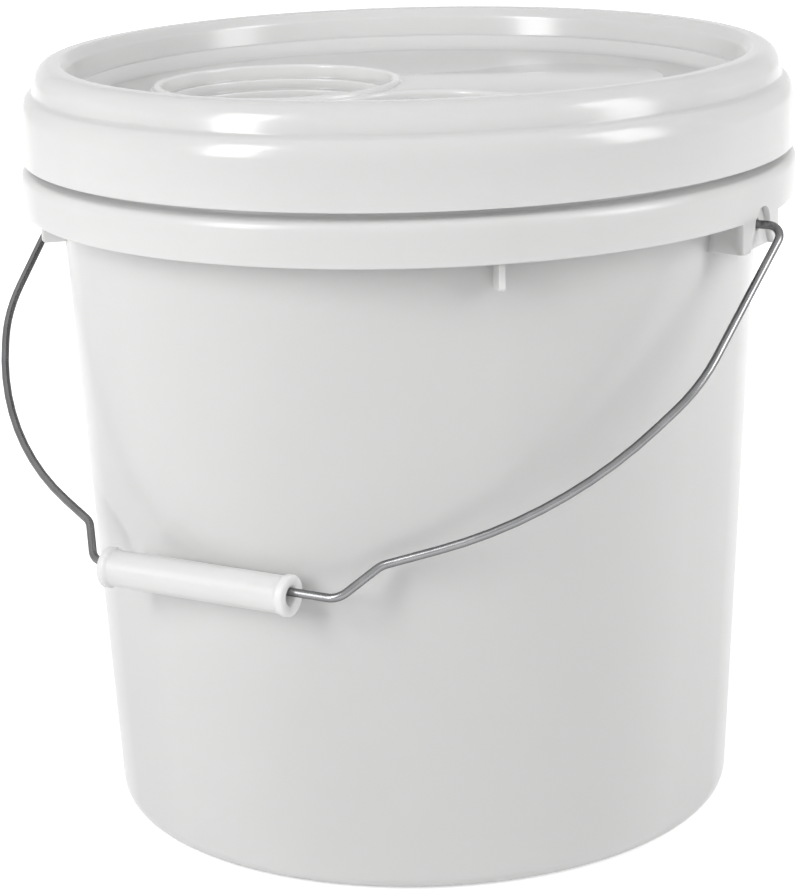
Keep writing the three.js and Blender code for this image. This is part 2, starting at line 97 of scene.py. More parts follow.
def eased(corners, steps=4):
    """Points of a section, with each corner that has a rounding replaced by a short curve."""
    points = []
    for i, (r, z, rounding) in enumerate(corners):
        corner = Vector((r, z))
        if rounding == 0 or i in (0, len(corners) - 1):
            points.append(corner)
            continue
        back = Vector(corners[i - 1][:2]) - corner
        ahead = Vector(corners[i + 1][:2]) - corner
        turn = math.pi - back.angle(ahead)
        longest = LONGEST_RUN * min(back.length, ahead.length)
        run = min(rounding * math.tan(turn / 2), longest)
        start = corner + back.normalized() * run
        end = corner + ahead.normalized() * run
        for k in range(steps + 1):
            t = k / steps
            points.append(start * (1 - t) ** 2 + corner * 2 * t * (1 - t) + end * t**2)
    return points


def ellipse(r, z, width, height, start, end, steps):
    """Section corners without rounding, on part of an ellipse."""
    corners = []
    for k in range(steps + 1):
        t = math.radians(start + (end - start) * k / steps)
        corners.append((r + width * math.cos(t), z + height * math.sin(t), 0))
    return corners


print("a square corner of 1 mm becomes", len(eased([(0, 0, 0), (5, 0, 1), (5, 5, 0)])), "points")

# %% [markdown]
# The spin operator turns the section into a skin of quads, like clay on a wheel.
# Points on the axis meet in one vertex once doubles are merged, and then the normals are made to face out.

# %% Turn a section about an axis
WELD_DISTANCE = 1e-6


def turned(points, steps, closed=False, about="Z"):
    """A bmesh turned from section points in millimetres, about the Z or the X axis."""
    shape = bmesh.new()
    verts = []
    for radius, along in points:
        x, z = (radius, along) if about == "Z" else (along, radius)
        verts.append(shape.verts.new((x * MM, 0, z * MM)))
    pairs = list(zip(verts, verts[1:])) + ([(verts[-1], verts[0])] if closed else [])
    edges = [shape.edges.new(pair) for pair in pairs]
    axis = (0, 0, 1) if about == "Z" else (1, 0, 0)
    bmesh.ops.spin(shape, geom=verts + edges, cent=(0, 0, 0), axis=axis, dvec=(0, 0, 0),
                   angle=2 * math.pi, steps=steps, use_merge=True)
    bmesh.ops.remove_doubles(shape, verts=shape.verts, dist=WELD_DISTANCE)
    bmesh.ops.recalc_face_normals(shape, faces=shape.faces)
    return shape


# %% [markdown]
# Ears, ribs and cuts are prisms: a flat outline that is pushed along a straight line.

# %% Push an outline into a prism
def prism(outline, push):
    """A closed bmesh from outline points in millimetres, pushed by a vector in millimetres."""
    shape = bmesh.new()
    face = shape.faces.new([shape.verts.new(Vector(p) * MM) for p in outline])
    pushed = bmesh.ops.extrude_face_region(shape, geom=[face])
    moved = [item for item in pushed["geom"] if isinstance(item, bmesh.types.BMVert)]
    bmesh.ops.translate(shape, vec=Vector(push) * MM, verts=moved)
    bmesh.ops.recalc_face_normals(shape, faces=shape.faces)
    return shape


def circle(along, up, radius, start, end, steps):
    """Flat points on part of a circle."""
    return [(x, y) for x, y, _ in ellipse(along, up, radius, radius, start, end, steps)]


# %% [markdown]
# One moulding is one closed mesh, so its turned body and its prisms are joined with exact booleans.
# The tool object is removed afterwards, and the result stays as plain mesh data.
# Shading is smooth over the curves and breaks at each real edge, where faces meet at more than a crease angle.

# %% Join and cut solids
CREASE_DEGREES = 32


def to_object(name, shape):
    mesh = bpy.data.meshes.new(name)
    shape.to_mesh(mesh)
    shape.free()
    piece = bpy.data.objects.new(name, mesh)
    bpy.context.scene.collection.objects.link(piece)
    return piece


def combine(piece, tool_shape, operation):
    """Joins a bmesh to a piece, or cuts it out of the piece."""
    tool = to_object("tool", tool_shape)
    boolean = piece.modifiers.new(operation.lower(), "BOOLEAN")
    boolean.operation = operation
    boolean.solver = "EXACT"
    boolean.object = tool
    graph = bpy.context.evaluated_depsgraph_get()
    piece.data = bpy.data.meshes.new_from_object(piece.evaluated_get(graph))
    piece.modifiers.clear()
    bpy.data.objects.remove(tool)


def smooth_piece(piece, crease_degrees):
    """Smooth shading that stays crisp where faces meet at more than the crease angle."""
    mesh = piece.data
    mesh.shade_smooth()
    mesh.set_sharp_from_angle(angle=math.radians(crease_degrees))
    print(piece.name, "has", len(mesh.polygons), "faces")


# %% [markdown]
# The pail is one thin moulding. Its wall leans out by about three degrees so that empty pails stack.
# Near the top it carries a collar whose skirt hangs down like a gutter turned over, which stiffens the mouth.
# Above the collar stands the neck, with the bead that the lid snaps over.

# %% Turn the pail
BASE_RADIUS = 110
WALL_SLOPE = 0.0496
WALL = 2
FLOOR = 2.4
BASE_ROUNDING = 7
FLOOR_ROUNDING = 5
COLLAR_RADIUS = 134
COLLAR_FOOT_RADIUS = 133.2
COLLAR_FOOT = 216.2
COLLAR_TOP = 231
COLLAR_ROUNDING = 3.6
NECK_RADIUS = 126
NECK_BEAD_RADIUS = 129.4
NECK_BEAD_HEIGHT = 246
BEAD_RISE = 1.4
PAIL_STEPS = 160


def wall_radius(height):
    return BASE_RADIUS + WALL_SLOPE * height


rim_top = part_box("pail")[1].z / MM
flange_foot = COLLAR_TOP - WALL
pail_section = eased([
    (0, 0, 0),
    (wall_radius(0), 0, BASE_ROUNDING),
    (wall_radius(flange_foot), flange_foot, 1),
    (COLLAR_RADIUS - WALL, flange_foot, 0.6),
    (COLLAR_FOOT_RADIUS - WALL, COLLAR_FOOT, 0.5),
    (COLLAR_FOOT_RADIUS, COLLAR_FOOT, 0.7),
    (COLLAR_RADIUS, COLLAR_TOP, COLLAR_ROUNDING),
    (NECK_RADIUS, COLLAR_TOP, 0.8),
    (NECK_RADIUS, NECK_BEAD_HEIGHT - BEAD_RISE, 1),
    (NECK_BEAD_RADIUS, NECK_BEAD_HEIGHT, 0.6),
    (NECK_BEAD_RADIUS, NECK_BEAD_HEIGHT + BEAD_RISE, 0.6),
    (NECK_RADIUS, NECK_BEAD_HEIGHT + 3 * BEAD_RISE, 1),
    (NECK_RADIUS, rim_top, 0.9),
    (NECK_RADIUS - WALL, rim_top, 0.3),
    (NECK_RADIUS - WALL, COLLAR_TOP + WALL, 1),
    (wall_radius(COLLAR_TOP) - WALL, COLLAR_TOP, 1),
    (wall_radius(FLOOR) - WALL, FLOOR, FLOOR_ROUNDING),
    (0, FLOOR, 0),
], steps=6)
pail = to_object("pail_shell", turned(pail_section, PAIL_STEPS))
print("pail section has", len(pail_section), "points and its rim is at", round(rim_top, 2))

# %% [markdown]
# Four short ribs brace the collar from below, and a deeper box on each side forms the ear.
# Each ear is a curved plate with a web at both ends. The plate is a piece of a ring: a small face that is spun
# through a part of a turn. Every plate sinks a little into the wall and the collar, so that the solids join,
# and the part of a rib inside the collar is a hair thinner, so that no two faces share a plane.

# %% Add the ribs and the ears
RIB_TURN = -47.5
RIB_RADIUS = 128.6
RIB_FOOT = 206.8
RIB_THICKNESS = 2
RIB_CHAMFER = 0.8
HIDDEN_THICKNESS = 1.99
PLATE_SINK = 1
PLATE_TOP = COLLAR_TOP - PLATE_SINK
EAR_FOOT = 206.2
EAR_HALF = 6.2
EAR_PLATE = 2.2
EAR_STEPS = 20
WEB_INSET = 0.43
WEB_RADIUS = COLLAR_FOOT_RADIUS - 1.1
POCKET_FACE = 131
POCKET_RADIUS = 6.2
POCKET_FOOT_HALF = 10.5
PIVOT_HEIGHT = joints["bail_swing"]["pos_m"][2] / MM


def radial_plate(foot, outer, thickness, low, chamfer=0):
    """An upright plate from the wall, at the height of its foot, out to a radius."""
    inner = wall_radius(foot) - PLATE_SINK
    lower = [(inner, low), (outer - chamfer, low), (outer, low + chamfer)]
    upper = [(outer, PLATE_TOP), (inner, PLATE_TOP)]
    return prism([(x, thickness / 2, z) for x, z in lower + upper], (0, -thickness, 0))


def rotated(shape, degrees):
    turn = Matrix.Rotation(math.radians(degrees), 3, "Z")
    bmesh.ops.rotate(shape, cent=(0, 0, 0), matrix=turn, verts=shape.verts)
    return shape


def ear_plate():
    shape = bmesh.new()
    inner = COLLAR_FOOT_RADIUS - EAR_PLATE
    outer = COLLAR_FOOT_RADIUS
    high = COLLAR_FOOT + WALL
    corners = [(inner, EAR_FOOT), (outer, EAR_FOOT), (outer, high), (inner, high)]
    face = shape.faces.new([shape.verts.new(Vector((x, 0, z)) * MM) for x, z in corners])
    rotated(shape, -EAR_HALF)
    bmesh.ops.spin(shape, geom=list(shape.verts) + list(shape.edges) + [face], cent=(0, 0, 0),
                   axis=(0, 0, 1), dvec=(0, 0, 0), angle=math.radians(2 * EAR_HALF), steps=EAR_STEPS)
    bmesh.ops.holes_fill(shape, edges=shape.edges, sides=0)
    bmesh.ops.recalc_face_normals(shape, faces=shape.faces)
    return shape


for quarter_turn in range(4):
    turn = RIB_TURN + 90 * quarter_turn
    below = radial_plate(RIB_FOOT, RIB_RADIUS, RIB_THICKNESS, RIB_FOOT, RIB_CHAMFER)
    combine(pail, rotated(below, turn), "UNION")
    hidden_radius = COLLAR_FOOT_RADIUS - PLATE_SINK
    inside = radial_plate(RIB_FOOT, hidden_radius, HIDDEN_THICKNESS, COLLAR_FOOT + WALL)
    combine(pail, rotated(inside, turn), "UNION")
for side in (0, 180):
    combine(pail, rotated(ear_plate(), side), "UNION")
    for end in (-1, 1):
        web = radial_plate(EAR_FOOT, WEB_RADIUS, RIB_THICKNESS, EAR_FOOT)
        combine(pail, rotated(web, side + end * (EAR_HALF - WEB_INSET)), "UNION")
print("ribs and ears joined:", len(pail.data.polygons), "faces")

# %% [markdown]
# Round each ear hole the plate steps back to a flat face, so that the wire can bend down close to the collar.
# That pocket is an arch that widens towards its open foot. A thicker pad behind it carries the hole.

# %% Cut the ear pockets and holes
PAD_BORDER = 2.4
PAD_THICKNESS = 2.6
HOLE_RADIUS = 2
HOLE_POINTS = 48
CUT_PAST = 2


def arch(border, foot):
    rim = circle(0, PIVOT_HEIGHT, POCKET_RADIUS + border, 0, 180, 20)
    return [(POCKET_FOOT_HALF + border, foot), *rim, (-POCKET_FOOT_HALF - border, foot)]


def along_x(outline, start, end):
    return prism([(start, y, z) for y, z in outline], (end - start, 0, 0))


hole_rim = circle(0, PIVOT_HEIGHT, HOLE_RADIUS, 0, 360 - 360 / HOLE_POINTS, HOLE_POINTS - 1)
for side in (0, 180):
    pad = along_x(arch(PAD_BORDER, EAR_FOOT), POCKET_FACE - PAD_THICKNESS, WEB_RADIUS)
    combine(pail, rotated(pad, side), "UNION")
    pocket = along_x(arch(0, EAR_FOOT - CUT_PAST), POCKET_FACE, COLLAR_RADIUS + 2 * CUT_PAST)
    combine(pail, rotated(pocket, side), "DIFFERENCE")
    hole = along_x(hole_rim, wall_radius(PIVOT_HEIGHT) + WALL / 2, COLLAR_RADIUS)
    combine(pail, rotated(hole, side), "DIFFERENCE")
smooth_piece(pail, CREASE_DEGREES)

# %% [markdown]
# The lid is a sheet of even thickness, so only its upper side is drawn and the solidify operator adds the wall.
# From the outside in: a straight skirt, a soft shoulder, a slope up to a broad crest, an inner wall with a small
# step, and the flat panel.

# %% Turn the lid
LID_RADIUS = 133.1
LID_FOOT = COLLAR_TOP + 2.6
LID_STEPS = 192
SHOULDER_FOOT = LID_FOOT + 14.8
SHOULDER_WIDTH = 4.4
SHOULDER_HEIGHT = 7.7
SLOPE_FOOT_RISE = 8.2
CREST_RADIUS = 122.4
CREST_INNER = 118.6
CREST_TOP = 266
STEP_RADIUS = 115.9
STEP_HEIGHT = 255.9
PANEL_RADIUS = 112.4
PANEL_HEIGHT = 250.6

slope_radius = LID_RADIUS - SHOULDER_WIDTH
slope_foot = SHOULDER_FOOT + SLOPE_FOOT_RISE
crest_width = slope_radius - CREST_RADIUS
lid_top = eased([
    (LID_RADIUS, LID_FOOT, 0),
    *ellipse(slope_radius, SHOULDER_FOOT, SHOULDER_WIDTH, SHOULDER_HEIGHT, 0, 78, 12),
    (slope_radius, slope_foot, 1.4),
    *ellipse(CREST_RADIUS, slope_foot, crest_width, CREST_TOP - slope_foot, 22, 90, 12),
    (CREST_INNER, CREST_TOP, 2.2),
    (STEP_RADIUS + 0.7, CREST_TOP - 3.4, 3),
    (STEP_RADIUS, STEP_HEIGHT, 0.5),
    (STEP_RADIUS - 1, STEP_HEIGHT - 0.4, 0.6),
    (PANEL_RADIUS, PANEL_HEIGHT, 3),
    (0, PANEL_HEIGHT, 0),
], steps=6)
lid_sheet = turned(lid_top, LID_STEPS)
upward = max(lid_sheet.faces, key=lambda face: face.calc_center_median().z).normal.z
if upward < 0:
    bmesh.ops.reverse_faces(lid_sheet, faces=lid_sheet.faces)
bmesh.ops.solidify(lid_sheet, geom=lid_sheet.faces, thickness=WALL * MM)
lid = to_object("lid_shell", lid_sheet)
print("lid spans", [round(d / MM, 1) for d in lid.dimensions])

# %% [markdown]
# A low island stands on the panel: two round lobes joined by a waist. The waist arcs are tangent to both lobes,
# so their centres follow from the radii by the law of cosines. The same outline, drawn smaller by the wall and
# set lower, hollows it from below. One lobe holds the stepped well.

# %% Draw the island
WELL_OFFSET = 44.8
WELL_LOBE = 44
PLAIN_OFFSET = 51.8
PLAIN_LOBE = 37.5
WAIST = 30
ISLAND_RISE = 4
ISLAND_TOP = PANEL_HEIGHT + ISLAND_RISE
ISLAND_ROUNDING = 1.2
ISLAND_TURN = 28


def island_outline(inset, height):
    well, plain, waist = WELL_LOBE - inset, PLAIN_LOBE - inset, WAIST + inset
    span = WELL_OFFSET + PLAIN_OFFSET
    along = (span**2 + (well + waist) ** 2 - (plain + waist) ** 2) / (2 * span)
    across = math.sqrt((well + waist) ** 2 - along**2)
    at_well = math.degrees(math.atan2(across, along))
    at_plain = math.degrees(math.atan2(across, along - span))
    middle = along - WELL_OFFSET
    flat = [
        *circle(PLAIN_OFFSET, 0, plain, -at_plain, at_plain, 60),
        *circle(middle, across, waist, at_plain - 180, at_well - 180, 14)[1:-1],
        *circle(-WELL_OFFSET, 0, well, at_well, 360 - at_well, 72),
        *circle(middle, -across, waist, 180 - at_well, 180 - at_plain, 14)[1:-1],
    ]
    return [(x, y, height) for x, y in flat]


island_push = (0, 0, ISLAND_TOP - PANEL_HEIGHT + WALL)
island = prism(island_outline(0, PANEL_HEIGHT - WALL), island_push)
top = (ISLAND_TOP - 0.01) * MM
top_edges = [edge for edge in island.edges if all(vert.co.z > top for vert in edge.verts)]
bmesh.ops.bevel(island, geom=top_edges, offset=ISLAND_ROUNDING * MM, offset_type="OFFSET",
                affect="EDGES", segments=4, profile=0.5, material=-1, clamp_overlap=True)
combine(lid, island, "UNION")
island_hollow = prism(island_outline(WALL, PANEL_HEIGHT - 2 * WALL), island_push)
combine(lid, island_hollow, "DIFFERENCE")
print("island joined:", len(lid.data.polygons), "faces")

# %% [markdown]
# The well is a little bowl with two round steps down its side. It is turned like the lid, moved to its lobe,
# and joined after the panel there has been cut away. A small slot on the waist stands for the moulding gate.
# Then the whole lid is given its turn on the pail.

# %% Sink the well
WELL_RADIUS = 40.2
WELL_MIDDLE_RADIUS = 37.6
WELL_FLOOR_RADIUS = 35
WELL_FLOOR = ISLAND_TOP - 13
WELL_LIP = ISLAND_TOP + 1.2
WELL_STEPS = 128
DRUM_RADIUS = WELL_RADIUS + 1
GATE_OFFSET = 15
GATE_HALF = 2.2
GATE_RADIUS = 0.8

step_one = ISLAND_TOP - 3.6
step_two = ISLAND_TOP - 7.2
well_section = eased([
    (0, WELL_FLOOR, 0),
    (WELL_FLOOR_RADIUS, WELL_FLOOR, 2),
    (WELL_FLOOR_RADIUS, step_two, 0.5),
    (WELL_MIDDLE_RADIUS, step_two, 0.6),
    (WELL_MIDDLE_RADIUS, step_one, 0.5),
    (WELL_RADIUS, step_one, 0.6),
    (WELL_RADIUS, WELL_LIP, 1),
    (WELL_LOBE - 1.2, WELL_LIP, 1.2),
    (WELL_LOBE - 0.6, ISLAND_TOP - 0.6, 0.3),
    (WELL_RADIUS + WALL, ISLAND_TOP - WALL, 0),
    (WELL_RADIUS + WALL, step_one - WALL, 0.5),
    (WELL_MIDDLE_RADIUS + WALL, step_one - WALL, 0.5),
    (WELL_MIDDLE_RADIUS + WALL, step_two - WALL, 0.5),
    (WELL_FLOOR_RADIUS + WALL, step_two - WALL, 0.5),
    (WELL_FLOOR_RADIUS + WALL, WELL_FLOOR - WALL, 3),
    (0, WELL_FLOOR - WALL, 0),
], steps=5)
drum_foot = PANEL_HEIGHT - 2 * WALL
drum = eased([
    (0, drum_foot, 0),
    (DRUM_RADIUS, drum_foot, 0),
    (DRUM_RADIUS, CREST_TOP, 0),
    (0, CREST_TOP, 0),
])


def over_lobe(shape):
    bmesh.ops.translate(shape, vec=(-WELL_OFFSET * MM, 0, 0), verts=shape.verts)
    return shape


combine(lid, over_lobe(turned(drum, WELL_STEPS)), "DIFFERENCE")
combine(lid, over_lobe(turned(well_section, WELL_STEPS)), "UNION")
gate = [
    *circle(GATE_HALF, GATE_OFFSET, GATE_RADIUS, -90, 90, 8),
    *circle(-GATE_HALF, GATE_OFFSET, GATE_RADIUS, 90, 270, 8),
]
combine(lid, prism([(x, y, ISLAND_TOP - 0.5) for x, y in gate], (0, 0, 4)), "DIFFERENCE")
lid.data.transform(Matrix.Rotation(math.radians(ISLAND_TURN), 4, "Z"))
smooth_piece(lid, CREASE_DEGREES)

# %% [markdown]
# The bail is one wire bent in a plane. A bending machine would hold the wire, push it on and turn it round a pin.
# The mesh is made the same way: a ring of vertices is pushed along the straights and spun round each bend.
# Half the wire is a list of corners, each with its distance to the side, its distance from the pivot and its
# bend radius. The bail in the photograph hangs a little to one side and askew, so both halves shift together.

# %% Bend the bail
WIRE_RADIUS = 1.4
WIRE_SIDES = 20
WIRE_WELD_DISTANCE = 1e-7
DEGREES_PER_STEP = 4
GRIP_DROP = 1.4
PIN_CLEARANCE = 2
BAIL_SLIDE = 1.6
BAIL_SKEW = 0.035
HALF_WIRE = [
    (142.6, 0, 5.5),
    (137.2, 65.8, 62),
    (110.3, 119.8, 128),
    (56.9, 146.6, 8),
    (47.5, 161, 7),
]

pivot = Vector(joints["bail_swing"]["pos_m"])
hand = Vector(joints["grip_spin"]["pos_m"]) + Vector((0, 0, GRIP_DROP * MM))
away = (hand - pivot).normalized()
pin = Vector(((wall_radius(PIVOT_HEIGHT) + PIN_CLEARANCE) * MM, 0, 0))


def wire_corner(along, out):
    across = along - BAIL_SLIDE - BAIL_SKEW * out
    return pivot + Vector((across * MM, 0, 0)) + away * out * MM


corners = [(pivot + pin, 0)]
corners += [(wire_corner(along, out), bend * MM) for along, out, bend in HALF_WIRE]
corners += [(wire_corner(-along, out), bend * MM) for along, out, bend in reversed(HALF_WIRE)]
corners += [(pivot - pin, 0)]


def bend_wire(corners, radius, sides):
    """A closed tube through the corners, with each bend spun about its own centre."""
    shape = bmesh.new()
    at = corners[0][0]
    heading = (corners[1][0] - at).normalized()
    ring = bmesh.ops.create_circle(shape, cap_ends=False, segments=sides, radius=radius)["verts"]
    turn = heading.to_track_quat("Z", "Y").to_matrix().to_4x4()
    bmesh.ops.transform(shape, matrix=Matrix.Translation(at) @ turn, verts=ring)
    edges = list(shape.edges)
    bmesh.ops.edgeloop_fill(shape, edges=edges)
    for (corner, bend), (following, _) in zip(corners[1:], corners[2:] + [(None, 0)]):
        last = following is None
        if not last:
            back, ahead = (at - corner).normalized(), (following - corner).normalized()
            half = back.angle(ahead) / 2
            stop = corner + back * (bend / math.tan(half))
        else:
            stop = corner
        pushed = bmesh.ops.extrude_edge_only(shape, edges=edges)["geom"]
        ring = [item for item in pushed if isinstance(item, bmesh.types.BMVert)]
        edges = [item for item in pushed if isinstance(item, bmesh.types.BMEdge)
                 and item.verts[0] in ring and item.verts[1] in ring]
        bmesh.ops.translate(shape, vec=stop - at, verts=ring)
        at = stop
        if not last:
            centre = corner + (back + ahead).normalized() * (bend / math.sin(half))
            axis = (stop - centre).cross(-back).normalized()
            sweep = math.pi - 2 * half
            steps = max(4, round(math.degrees(sweep) / DEGREES_PER_STEP))
            spun = bmesh.ops.spin(shape, geom=ring + edges, cent=centre, axis=axis, dvec=(0, 0, 0),
                                  angle=sweep, steps=steps)["geom_last"]
            ring = [item for item in spun if isinstance(item, bmesh.types.BMVert)]
            edges = [item for item in spun if isinstance(item, bmesh.types.BMEdge)]
            at = corner + ahead * (bend / math.tan(half))
    bmesh.ops.edgeloop_fill(shape, edges=edges)
    bmesh.ops.remove_doubles(shape, verts=shape.verts, dist=WIRE_WELD_DISTANCE)
    bmesh.ops.recalc_face_normals(shape, faces=shape.faces)
    return shape


bail = to_object("bail_wire", bend_wire(corners, WIRE_RADIUS * MM, WIRE_SIDES))
smooth_piece(bail, 50)

# %% [markdown]
# The grip is a short tube with a small flange at each end. It is turned about the X axis, like a bead,
# and moved onto its hinge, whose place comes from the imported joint.

# %% Turn the grip
BORE_RADIUS = 3.1
TUBE_RADIUS = 6.2
FLANGE_RADIUS = 6.9
FLANGE_LENGTH = 2.2
FLANGE_TAPER_END = 3.4
GRIP_STEPS = 64

grip_low, grip_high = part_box("grip")
half_length = (grip_high.x - grip_low.x) / 2 / MM
grip_section = eased([
    (BORE_RADIUS, -half_length + 4, 0),
    (BORE_RADIUS, -half_length, 0.8),
    (FLANGE_RADIUS, -half_length, 0.6),
    (FLANGE_RADIUS, -half_length + FLANGE_LENGTH, 0.5),
    (TUBE_RADIUS, -half_length + FLANGE_TAPER_END, 0.8),
    (TUBE_RADIUS, half_length - FLANGE_TAPER_END, 0.8),
    (FLANGE_RADIUS, half_length - FLANGE_LENGTH, 0.5),
    (FLANGE_RADIUS, half_length, 0.6),
    (BORE_RADIUS, half_length, 0.8),
    (BORE_RADIUS, half_length - 4, 0),
])
grip_shape = turned(grip_section, GRIP_STEPS, closed=True, about="X")
grip_place = Vector(joints["grip_spin"]["pos_m"])
grip_place.x = (grip_high.x + grip_low.x) / 2
bmesh.ops.translate(grip_shape, vec=grip_place, verts=grip_shape.verts)
grip = to_object("grip_tube", grip_shape)
smooth_piece(grip, 40)

# %% [markdown]
# Moulded plastic is never quite even. Under a lamp its surface shows a very fine grain, and the wall itself
# varies a little in how milky it looks. Near the outline the colour gets painted shade and then a painted
# highlight, standing for the light that the eye meets along the milky sheet. One node group makes all three. The
# material tells it how edge-on the surface is, and each plastic places it with its own values.

# %% Build the moulded surface group, with its painted edge shade and highlight
CLOUD_SCALE = 22
GRAIN_SCALE = 900
EDGE_SHADE_AND_HIGHLIGHT_LEVELS = ((0.76, 0.9), (0.88, 1.05))
EDGE_PAINTED_HIGHLIGHT = 1.25


def grey(level):
    return (level, level, level, 1)


def noise(tree, scale, detail, source):
    node = tree.nodes.new("ShaderNodeTexNoise")
    node.inputs["Scale"].default_value = scale
    node.inputs["Detail"].default_value = detail
    tree.links.new(source, node.inputs["Vector"])
    return node.outputs["Fac"]


def moulded_surface_group():
    tree = bpy.data.node_groups.new("moulded_surface", "ShaderNodeTree")
    for name, kind, default in (
        ("Milk", "NodeSocketColor", (0.8, 0.8, 0.8, 1)),
        ("Shade", "NodeSocketColor", (0.7, 0.7, 0.7, 1)),
        ("Gloss", "NodeSocketFloat", 0.3),
        ("Haze", "NodeSocketFloat", 0.1),
        ("Edge On", "NodeSocketFloat", 0),
    ):
        socket = tree.interface.new_socket(name=name, in_out="INPUT", socket_type=kind)
        socket.default_value = default
    for name, kind in (
        ("Color", "NodeSocketColor"),
        ("Roughness", "NodeSocketFloat"),
        ("Grain", "NodeSocketFloat"),
    ):
        tree.interface.new_socket(name=name, in_out="OUTPUT", socket_type=kind)
    entry = tree.nodes.new("NodeGroupInput")
    leave = tree.nodes.new("NodeGroupOutput")
    place = tree.nodes.new("ShaderNodeTexCoord").outputs["Object"]
    cloud = noise(tree, CLOUD_SCALE, 2, place)
    fine = noise(tree, GRAIN_SCALE, 3, place)
    tint = tree.nodes.new("ShaderNodeMix")
    tint.data_type = "RGBA"
    tree.links.new(cloud, tint.inputs["Factor"])
    tree.links.new(entry.outputs["Milk"], tint.inputs["A"])
    tree.links.new(entry.outputs["Shade"], tint.inputs["B"])
    # Painted shade and a painted highlight near the outline: the colour is darkened, then raised above its own
    # level.
    painted_edge_ramp = tree.nodes.new("ShaderNodeValToRGB")
    stops = painted_edge_ramp.color_ramp.elements
    stops[0].position, stops[0].color = 0.5, grey(1)
    stops[1].position, stops[1].color = 1, grey(EDGE_PAINTED_HIGHLIGHT)
    for facing, level in EDGE_SHADE_AND_HIGHLIGHT_LEVELS:
        stops.new(facing).color = grey(level)
    tree.links.new(entry.outputs["Edge On"], painted_edge_ramp.inputs["Fac"])
    tint_with_painted_edge = tree.nodes.new("ShaderNodeMix")
    tint_with_painted_edge.data_type = "RGBA"
    tint_with_painted_edge.blend_type = "MULTIPLY"
    tint_with_painted_edge.inputs["Factor"].default_value = 1
    tree.links.new(tint.outputs["Result"], tint_with_painted_edge.inputs["A"])
    tree.links.new(painted_edge_ramp.outputs["Color"], tint_with_painted_edge.inputs["B"])
    tree.links.new(tint_with_painted_edge.outputs["Result"], leave.inputs["Color"])
    rough = tree.nodes.new("ShaderNodeMath")
    rough.operation = "MULTIPLY_ADD"
    tree.links.new(cloud, rough.inputs[0])
    tree.links.new(entry.outputs["Haze"], rough.inputs[1])
    tree.links.new(entry.outputs["Gloss"], rough.inputs[2])
    tree.links.new(rough.outputs["Value"], leave.inputs["Roughness"])
    tree.links.new(fine, leave.inputs["Grain"])
    return tree


moulded_surface = moulded_surface_group()
print("moulded_surface has", len(moulded_surface.nodes), "nodes")

# %% [markdown]
# The pail is natural polypropylene: white, a little milky, with a soft gloss. Light enters the wall and
# spreads, so the material has some subsurface scattering. The lid is whiter and glossier, and the grip is
# rougher.
# The milky lid lets light down into the narrow gap above the collar, which would be dark behind a solid lid.
# A faint glow on that band of the neck stands for this light. It is too weak to show as a ring when the lid
# is lifted.

# %% Mix the plastics
GRAIN_DEPTH = 0.0001
SCATTER_DEPTH = 0.006
PLASTIC_IOR = 1.49
NECK_GLOW = 0.08
GAP_MIDDLE = COLLAR_TOP + 1.6
GAP_HALF = 1.7


def plastic(name, milk, shade, gloss, haze, grain, scatter):
    material = bpy.data.materials.new(name)
    material.use_nodes = True
    tree = material.node_tree
    surface = tree.nodes["Principled BSDF"]
    group = tree.nodes.new("ShaderNodeGroup")
    group.node_tree = moulded_surface
    group.inputs["Milk"].default_value = (*milk, 1)
    group.inputs["Shade"].default_value = (*shade, 1)
    group.inputs["Gloss"].default_value = gloss
    group.inputs["Haze"].default_value = haze
    # How edge-on the surface is drives the painted shade and highlight near the outline.
    view = tree.nodes.new("ShaderNodeLayerWeight")
    tree.links.new(view.outputs["Facing"], group.inputs["Edge On"])
    bump = tree.nodes.new("ShaderNodeBump")
    bump.inputs["Strength"].default_value = grain
    bump.inputs["Distance"].default_value = GRAIN_DEPTH
    tree.links.new(group.outputs["Grain"], bump.inputs["Height"])
    tree.links.new(bump.outputs["Normal"], surface.inputs["Normal"])
    tree.links.new(group.outputs["Color"], surface.inputs["Base Color"])
    tree.links.new(group.outputs["Roughness"], surface.inputs["Roughness"])
    surface.inputs["Subsurface Weight"].default_value = scatter
    surface.inputs["Subsurface Radius"].default_value = (1, 1, 1)
    surface.inputs["Subsurface Scale"].default_value = SCATTER_DEPTH
    surface.inputs["IOR"].default_value = PLASTIC_IOR
    return material


pail_plastic = plastic("pail_plastic", milk=(0.71, 0.71, 0.705), shade=(0.69, 0.69, 0.685),
                       gloss=0.26, haze=0.06, grain=0.12, scatter=0.7)
lid_plastic = plastic("lid_plastic", milk=(0.75, 0.75, 0.745), shade=(0.73, 0.73, 0.725),
                      gloss=0.16, haze=0.05, grain=0.1, scatter=0.7)
grip_plastic = plastic("grip_plastic", milk=(0.79, 0.79, 0.785), shade=(0.73, 0.73, 0.725),
                       gloss=0.26, haze=0.15, grain=0.9, scatter=0.9)

pail_tree = pail_plastic.node_tree
neck_place = pail_tree.nodes.new("ShaderNodeTexCoord")
neck_height = pail_tree.nodes.new("ShaderNodeSeparateXYZ")
in_gap = pail_tree.nodes.new("ShaderNodeMath")
in_gap.operation = "COMPARE"
in_gap.inputs[1].default_value = GAP_MIDDLE * MM
in_gap.inputs[2].default_value = GAP_HALF * MM
neck_glow = pail_tree.nodes.new("ShaderNodeMath")
neck_glow.operation = "MULTIPLY"
neck_glow.inputs[1].default_value = NECK_GLOW
pail_tree.links.new(neck_place.outputs["Object"], neck_height.inputs["Vector"])
pail_tree.links.new(neck_height.outputs["Z"], in_gap.inputs[0])
pail_tree.links.new(in_gap.outputs["Value"], neck_glow.inputs[0])
pail_surface = pail_tree.nodes["Principled BSDF"]
pail_surface.inputs["Emission Strength"].default_value = 1
pail_tree.links.new(neck_glow.outputs["Value"], pail_surface.inputs["Emission Color"])
